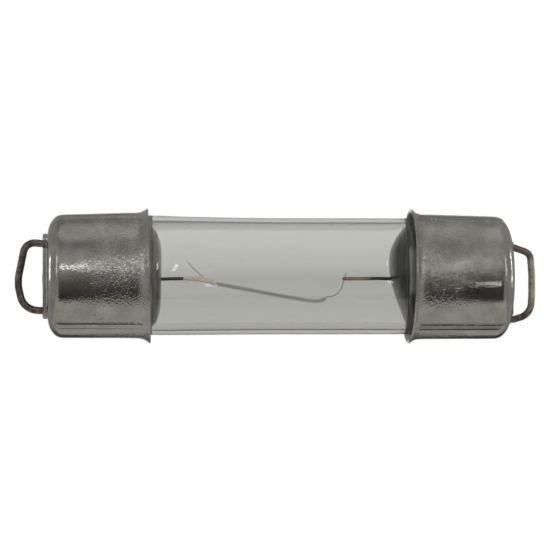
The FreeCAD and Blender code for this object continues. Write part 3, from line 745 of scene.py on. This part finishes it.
def make_lead_solder(side):
    """The drop of solder over the end of the lead, on the raised bar."""
    face = FLAT_X[side] + BAR_HEIGHT
    drop_side = ((-0.1, 0.5), (0.0, 0.5), (0.02, 0.46), (0.035, 0.36), (0.045, 0.2))
    stations = [(face + proud, radius) for proud, radius in drop_side]
    drop = ring_about(f"{END_NAME[side]}_drop", side, (0.0, LEAD_Z), stations)
    smooth_all(drop, 60)
    stands_for(drop, f"{END_NAME[side]}_lead_solder", "solder")


# Leads, posts and filament


LEAD_RADIUS = 0.145
LEAD_STEPS = 24
# The right lead was pushed up where the hot glass closed over it: from, to, and how far
PUSHED = (9.7, 14.7, 0.32)


def make_lead(side, post_start):
    """The dark lead, very slightly wavy inside the tube."""
    far = FLAT_X[side] + BAR_HEIGHT + 0.04
    push_start, push_end, push = PUSHED
    route = []
    for step in range(LEAD_STEPS + 1):
        x = post_start + (far - post_start) * step / LEAD_STEPS
        wave = 0.012 * math.sin(step * 1.3) if 0 < step < LEAD_STEPS / 2 else 0.0
        rise = 0.0
        if side == RIGHT and push_start < x < push_end:
            rise = push * math.sin(math.pi * (x - push_start) / (push_end - push_start))
        route.append((side * x, 0.0, LEAD_Z + wave + rise))
    lead = make_wire(f"{END_NAME[side]}_lead_wire", route, LEAD_RADIUS, 4)
    stands_for(lead, f"{END_NAME[side]}_lead", "lead_wire")


# Where the blade starts, and its cross sections from there: x, z, half its height and half its thickness
BLADE_START = (-8.2, LEAD_Z, 0.14, 0.14)
BLADE = [
    (-7.9, -0.2, 0.15, 0.13), (-7.55, -0.2, 0.17, 0.11), (-7.2, -0.21, 0.19, 0.1), (-6.8, -0.24, 0.21, 0.095),
    (-6.4, -0.28, 0.235, 0.09), (-6.0, -0.35, 0.25, 0.09), (-5.7, -0.42, 0.235, 0.09), (-5.45, -0.48, 0.18, 0.085),
    (-5.3, -0.52, 0.12, 0.07), (-5.24, -0.54, 0.06, 0.05),
]


def make_left_post():
    """The pale blade, squeezed flat, that droops towards the filament."""
    deselect()
    start_x, start_z, start_radius, _ = BLADE_START
    bpy.ops.mesh.primitive_circle_add(vertices=20, radius=start_radius * MM, rotation=(0, math.pi / 2, 0))
    post = bpy.context.object
    post.name = "left_blade"
    post.location = (start_x * MM, 0, start_z * MM)
    apply_place()
    edit("SELECT")
    for last, (x, z, high, thick) in zip([BLADE_START] + BLADE, BLADE):
        last_x, last_z, last_high, last_thick = last
        move = ((x - last_x) * MM, 0, (z - last_z) * MM)
        bpy.ops.mesh.extrude_region_move(TRANSFORM_OT_translate={"value": move})
        scale = (1, thick / last_thick, high / last_high)
        bpy.ops.transform.resize(value=scale, center_override=(x * MM, 0, z * MM))
    bpy.ops.mesh.extrude_region_move()
    bpy.ops.mesh.merge(type="CENTER")
    leave()
    modify(post, "SUBSURF", levels=1, render_levels=1)
    outwards(post)
    smooth_all(post)
    stands_for(post, "left_post", "left_post_metal")


# The right post: x, and its thickness as a share of the lead's
ROUND_POST = [
    (5.74, 0.55), (5.79, 0.95), (5.9, 1.1), (6.0, 0.95), (6.08, 1.08), (6.5, 1.12), (7.0, 1.06), (7.6, 1.1),
    (8.16, 1.02),
]


def make_right_post():
    """The round end of the right lead, nicked where the filament goes through it."""
    route = [(x, 0.0, LEAD_Z) for x, _ in ROUND_POST]
    post = make_wire("right_round_post", route, LEAD_RADIUS, 4, [swell for _, swell in ROUND_POST])
    stands_for(post, "right_post", "right_post_metal")


def curve_between(points, parts):
    """A smooth line through the points, as a chain of short steps."""
    line = []
    for index in range(len(points) - 1):
        before = Vector(points[max(index - 1, 0)])
        start = Vector(points[index])
        end = Vector(points[index + 1])
        after = Vector(points[min(index + 2, len(points) - 1)])
        pull_out = (end - before) / 2
        pull_in = (after - start) / 2
        for part in range(parts):
            share = part / parts
            square, cube = share ** 2, share ** 3
            line.append(
                start * (2 * cube - 3 * square + 1) + pull_out * (cube - 2 * square + share)
                + end * (3 * square - 2 * cube) + pull_in * (cube - square)
            )
    line.append(Vector(points[-1]))
    return line


def length_shares(line):
    """How far along the line each point lies, from 0 to 1."""
    sums = [0.0]
    for one, other in zip(line, line[1:]):
        sums.append(sums[-1] + (other - one).length)
    return [part / sums[-1] for part in sums]


def on_line(line, shares, share):
    for index in range(len(line) - 1):
        if shares[index + 1] >= share:
            step = (share - shares[index]) / (shares[index + 1] - shares[index])
            way = (line[index + 1] - line[index]).normalized()
            return line[index].lerp(line[index + 1], step), way
    return line[-1], (line[-1] - line[-2]).normalized()


COIL_TURNS = 51
COIL_STEPS = 12
COIL_ROUND = 0.16
FILAMENT_RADIUS = 0.026
# Places (x, z) along the left tail, the middle of the coil, the leg to the right post and the right tail
LEFT_TAIL = [(-7.67, 1.18), (-6.9, 0.42), (-6.02, -0.31), (-5.75, -0.62), (-5.58, -0.75), (-5.42, -0.73)]
COIL_LINE = [(-5.12, -0.67), (-2.4, -1.18), (0.55, -1.73), (3.3, -2.17), (4.3, -1.93)]
LEG_LINE = [(5.1, -1.62), (5.55, -1.2), (5.78, -0.6), (5.93, -0.2), (5.98, 0.16)]
RIGHT_TAIL = [(6.03, 0.24), (6.14, 0.27)]


def make_filament():
    """One thin wire: a tail, the way through the blade, the sagging coil, a curved leg and a short tail."""
    middle = curve_between([(x, 0, z) for x, z in COIL_LINE], 40)
    shares = length_shares(middle)
    route = [Vector((x, 0, z)) for x, z in LEFT_TAIL]
    steps = COIL_TURNS * COIL_STEPS
    for step in range(steps + 1):
        place, way = on_line(middle, shares, step / steps)
        upwards = Vector((-way.z, 0, way.x))
        angle = 2 * math.pi * step / COIL_STEPS
        wobble = 1 + 0.05 * math.sin(step * 0.37)
        arm = upwards * math.cos(angle) - Vector((0, 1, 0)) * math.sin(angle)
        route.append(place + arm * COIL_ROUND * wobble)
    end = route[-1]
    leg = [end, (end.x + 0.3, 0, end.z)] + [(x, 0, z) for x, z in LEG_LINE]
    route += curve_between(leg, 6)[1:]
    route += [Vector((x, 0, z)) for x, z in RIGHT_TAIL]
    filament = make_wire("thin_filament_wire", route, FILAMENT_RADIUS, 1)
    stands_for(filament, "filament", "tungsten")


# The glass

GLASS_SEGMENTS = 128
# The outside of the glass from right to left: x, radius and how high its middle lies
GLASS_OUTSIDE = [
    (16.15, 3.25, 0.0), (13.55, 5.05, 0.0), (9.0, 5.05, 0.0), (0.0, 5.05, 0.0), (-3.5, 5.07, 0.01),
    (-7.9, 5.13, 0.04), (-10.0, 5.16, 0.08), (-10.9, 5.17, 0.1), (-12.2, 5.15, 0.05), (-13.05, 5.12, 0.0),
    (-15.65, 3.36, 0.0),
]
# The same for its inside: the right dome, the tube and the left dome
GLASS_INSIDE = [
    (9.8, 0.5, 1.15), (9.83, 1.0, 1.1), (9.93, 1.5, 1.0), (10.1, 2.1, 0.85), (10.35, 2.85, 0.65),
    (10.6, 3.45, 0.42), (10.85, 4.0, 0.2), (11.0, 4.3, 0.08), (11.08, 4.45, 0.0), (11.0, 4.55, 0.0),
    (10.9, 4.55, 0.0), (9.0, 4.55, 0.0), (0.0, 4.55, 0.0), (-7.9, 4.63, 0.03), (-10.9, 4.66, 0.02),
    (-11.2, 4.66, 0.0), (-11.3, 4.5, 0.0), (-10.9, 4.35, 0.0), (-10.6, 4.2, -0.05), (-10.35, 3.9, -0.12),
    (-10.1, 3.2, -0.15), (-9.97, 2.4, -0.2), (-9.96, 1.2, -0.2),
]


def make_glass():
    """The tube with its melted ends, thick where they close over the leads."""
    outer = drawn_shell("glass_tube", GLASS_SEGMENTS, GLASS_OUTSIDE, True, True)
    cavity = drawn_shell("glass_cavity", GLASS_SEGMENTS, GLASS_INSIDE, True, True)
    outwards(outer)
    active(cavity)
    edit("SELECT")
    bpy.ops.mesh.normals_make_consistent(inside=True)
    leave()
    active(outer)
    cavity.select_set(True)
    bpy.ops.object.join()
    smooth_all(outer, 40)
    stands_for(outer, "glass_envelope", "clear_glass")


# The stage


def look_at(item, target):
    item.rotation_mode = "QUATERNION"
    item.rotation_quaternion = (Vector(target) - item.location).to_track_quat("-Z", "Y")


CAMERA_DISTANCE = 205
CAMERA_YAW = 3.4
CAMERA_SHIFT = 0.00236


def make_camera():
    """The photograph's view: level, from the front and a little to the left, and from about 20 cm away."""
    yaw = math.radians(CAMERA_YAW)
    camera = bpy.data.objects.new("camera", bpy.data.cameras.new("camera"))
    bpy.context.collection.objects.link(camera)
    camera.location = (-CAMERA_DISTANCE * MM * math.sin(yaw), -CAMERA_DISTANCE * MM * math.cos(yaw), 0)
    look_at(camera, (0, 0, 0))
    camera.data.sensor_width = 36
    camera.data.lens = 155.06
    camera.data.shift_x = -CAMERA_SHIFT
    camera.data.shift_y = CAMERA_SHIFT
    camera.data.clip_start = 0.01
    camera.data.clip_end = 10
    bpy.context.scene.camera = camera


# Soft lamps: name, place, width and height in millimetres, power, target, and lean in degrees
CENTRE = (0, 0, 0)
LAMPS = [
    ("key_lamp", (-45, -250, 77), 66, 18, 0.0088, CENTRE, 0.0),
    ("low_lamp", (52, -250, -50), 24, 4, 0.0038, CENTRE, 0.0),
    ("left_lamp", (-175, -170, 80), 60, 130, 0.018, CENTRE, 0.0),
    ("right_lamp", (185, -165, 80), 60, 130, 0.018, CENTRE, 0.0),
    ("left_side_lamp", (-230, 85, 22), 24, 64, 0.016, CENTRE, 0.0),
    ("right_side_lamp", (230, 85, 26), 28, 90, 0.026, CENTRE, 0.0),
    ("strip_lamp", (-3.4, -250, 78), 1.6, 60, 0.0036, CENTRE, 0.0),
    ("right_strip_lamp", (41.8, -250, 108), 0.75, 176, 0.0058, (41.8, 0, 108), -2.6),
]


def soft_lamp(name, place, width, tall, power, target, lean):
    light = bpy.data.lights.new(name, "AREA")
    light.shape = "RECTANGLE"
    light.size = width * MM
    light.size_y = tall * MM
    light.energy = power
    lamp = bpy.data.objects.new(name, light)
    bpy.context.collection.objects.link(lamp)
    lamp.location = [part * MM for part in place]
    look_at(lamp, [part * MM for part in target])
    lamp.rotation_quaternion = lamp.rotation_quaternion @ Quaternion((0, 0, 1), math.radians(lean))


# How bright the studio is at each height, in degrees above the level of the bulb.
STUDIO_LEVELS = [
    (-90, 0.31), (-48.5, 0.31), (-45.5, 0.045), (-34, 0.05), (-25, 0.08), (-16, 0.11), (-7, 0.17), (2, 0.26),
    (12, 0.37), (28, 0.42), (40, 0.32), (50, 0.28), (56, 0.22), (66, 0.24), (72, 0.42), (90, 0.46),
]
# The same, a little to the right, where the right cap mirrors it
RIGHT_LEVELS = [
    (-90, 0.31), (-48.5, 0.31), (-45.5, 0.05), (-25, 0.045), (-10, 0.065), (-4, 0.1), (5, 0.15), (12, 0.24),
    (20, 0.38), (40, 0.38), (50, 0.37), (56, 0.32), (66, 0.33), (72, 0.42), (90, 0.46),
]
BACK_LEVEL = 0.29
SIDE_LEVEL = 0.3
# What light that a dull surface scatters finds, in the open and through the glass
SCATTER_LEVEL = 0.75
GLASS_SCATTER_LEVEL = 1.9


def plain(level):
    return (level, level, level, 1.0)


def height_stops(levels):
    """Stops of a ramp over the sine of the height, from 0 to 1."""
    return [(0.5 + 0.5 * math.sin(math.radians(angle)), (level, level, level)) for angle, level in levels]


def make_world():
    """A grey studio with a dark band under the level of the bulb and another above it, and a white backdrop."""
    world = bpy.data.worlds.new("studio")
    bpy.context.scene.world = world
    paint = Paint(world)
    direction = paint.node("ShaderNodeTexCoord")("Generated")
    parts = paint.node("ShaderNodeSeparateXYZ", {}, {"Vector": direction})
    height = parts("Z") * 0.5 + 0.5
    left_part, right_part = [
        paint.node("ShaderNodeValToRGB", {"stops": height_stops(levels)}, {"Fac": height})("Color")
        for levels in (STUDIO_LEVELS, RIGHT_LEVELS)
    ]
    studio = paint.mix(parts("X").ramp(0.03, 0.11), left_part, right_part)
    studio = paint.mix(parts("X").size().ramp(0.3, 0.55), studio, plain(SIDE_LEVEL))
    high_back = parts("Y").ramp(0.62, 0.7) * parts("Z").ramp(0.1, 0.2)
    studio = paint.mix(high_back, studio, plain(BACK_LEVEL))
    path = paint.node("ShaderNodeLightPath")
    scattered = path("Diffuse Depth").above(0.5)
    straight = (path("Diffuse Depth") + path("Glossy Depth")).below(0.5)
    behind = parts("Y").ramp(0.78, 0.86)
    backdrop = parts("Y").ramp(0.96, 0.98)
    seen = path("Is Camera Ray").larger(path("Is Transmission Ray") * straight.larger(behind))
    seen = seen.larger(path("Is Glossy Ray") * backdrop)
    tone = paint.mix(seen, studio, plain(1.0))
    # the tube's grey tint would otherwise count twice for what lies in it
    scatter = paint.mix(path("Is Transmission Ray"), plain(SCATTER_LEVEL), plain(GLASS_SCATTER_LEVEL))
    tone = paint.mix(scattered, tone, scatter)
    background = paint.node("ShaderNodeBackground", {}, {"Color": tone, "Strength": 1.0})("Background")
    paint.node("ShaderNodeOutputWorld", {}, {"Surface": background})


FLOOR_WIDE = 144
FLOOR_DEEP = 90
FLOOR_Z = -45


def make_floor():
    """A plain pale floor well below the bulb, which hangs in the air as a holder would hold it."""
    deselect()
    bpy.ops.mesh.primitive_plane_add(size=FLOOR_DEEP * MM, location=(0, 0, FLOOR_Z * MM))
    floor = bpy.context.object
    floor.scale.x = FLOOR_WIDE / FLOOR_DEEP
    apply_place()
    floor.name = "floor"
    paint = new_paint("pale_floor")
    shade = paint.node("ShaderNodeBsdfDiffuse", {}, {"Color": (0.575, 0.565, 0.55, 1.0)})("BSDF")
    white = paint.node("ShaderNodeEmission", {}, {"Color": plain(1.0), "Strength": 0.6})("Emission")
    path = paint.node("ShaderNodeLightPath")
    both = paint.node("ShaderNodeAddShader", {}, {0: shade, 1: white})("Shader")
    mixed = paint.node("ShaderNodeMixShader", {}, {"Fac": path("Is Camera Ray"), 1: shade, 2: both})("Shader")
    paint.surface(mixed)
    floor.data.materials.append(paint.owner)


bpy.context.scene.view_settings.view_transform = "Standard"
make_camera()
make_world()
make_floor()
for lamp in LAMPS:
    soft_lamp(*lamp)

for node, item in frame["nodes"].items():
    slot = next(part["material_slot"] for part in frame["record"]["subparts"] if part["node"] == node)
    item.data.materials.clear()
    item.data.materials.append(FINISH[slot])

make_cap(LEFT)
make_cap(RIGHT)
make_glass()
make_loop(LEFT, LEFT_LOOP, LEFT_BENDS, 0.32)
make_loop(RIGHT, RIGHT_LOOP, RIGHT_BENDS, 0.3)
make_loop_solder(LEFT, [(2.72, 0.42, 0.16), (-2.98, 0.55, 0.42)])
make_loop_solder(RIGHT, [(2.5, 0.4, 0.14), (-3.75, 0.4, 0.14)])
make_lead_solder(LEFT)
make_lead_solder(RIGHT)
make_lead(LEFT, 8.05)
make_lead(RIGHT, 8.15)
make_left_post()
make_right_post()
make_filament()
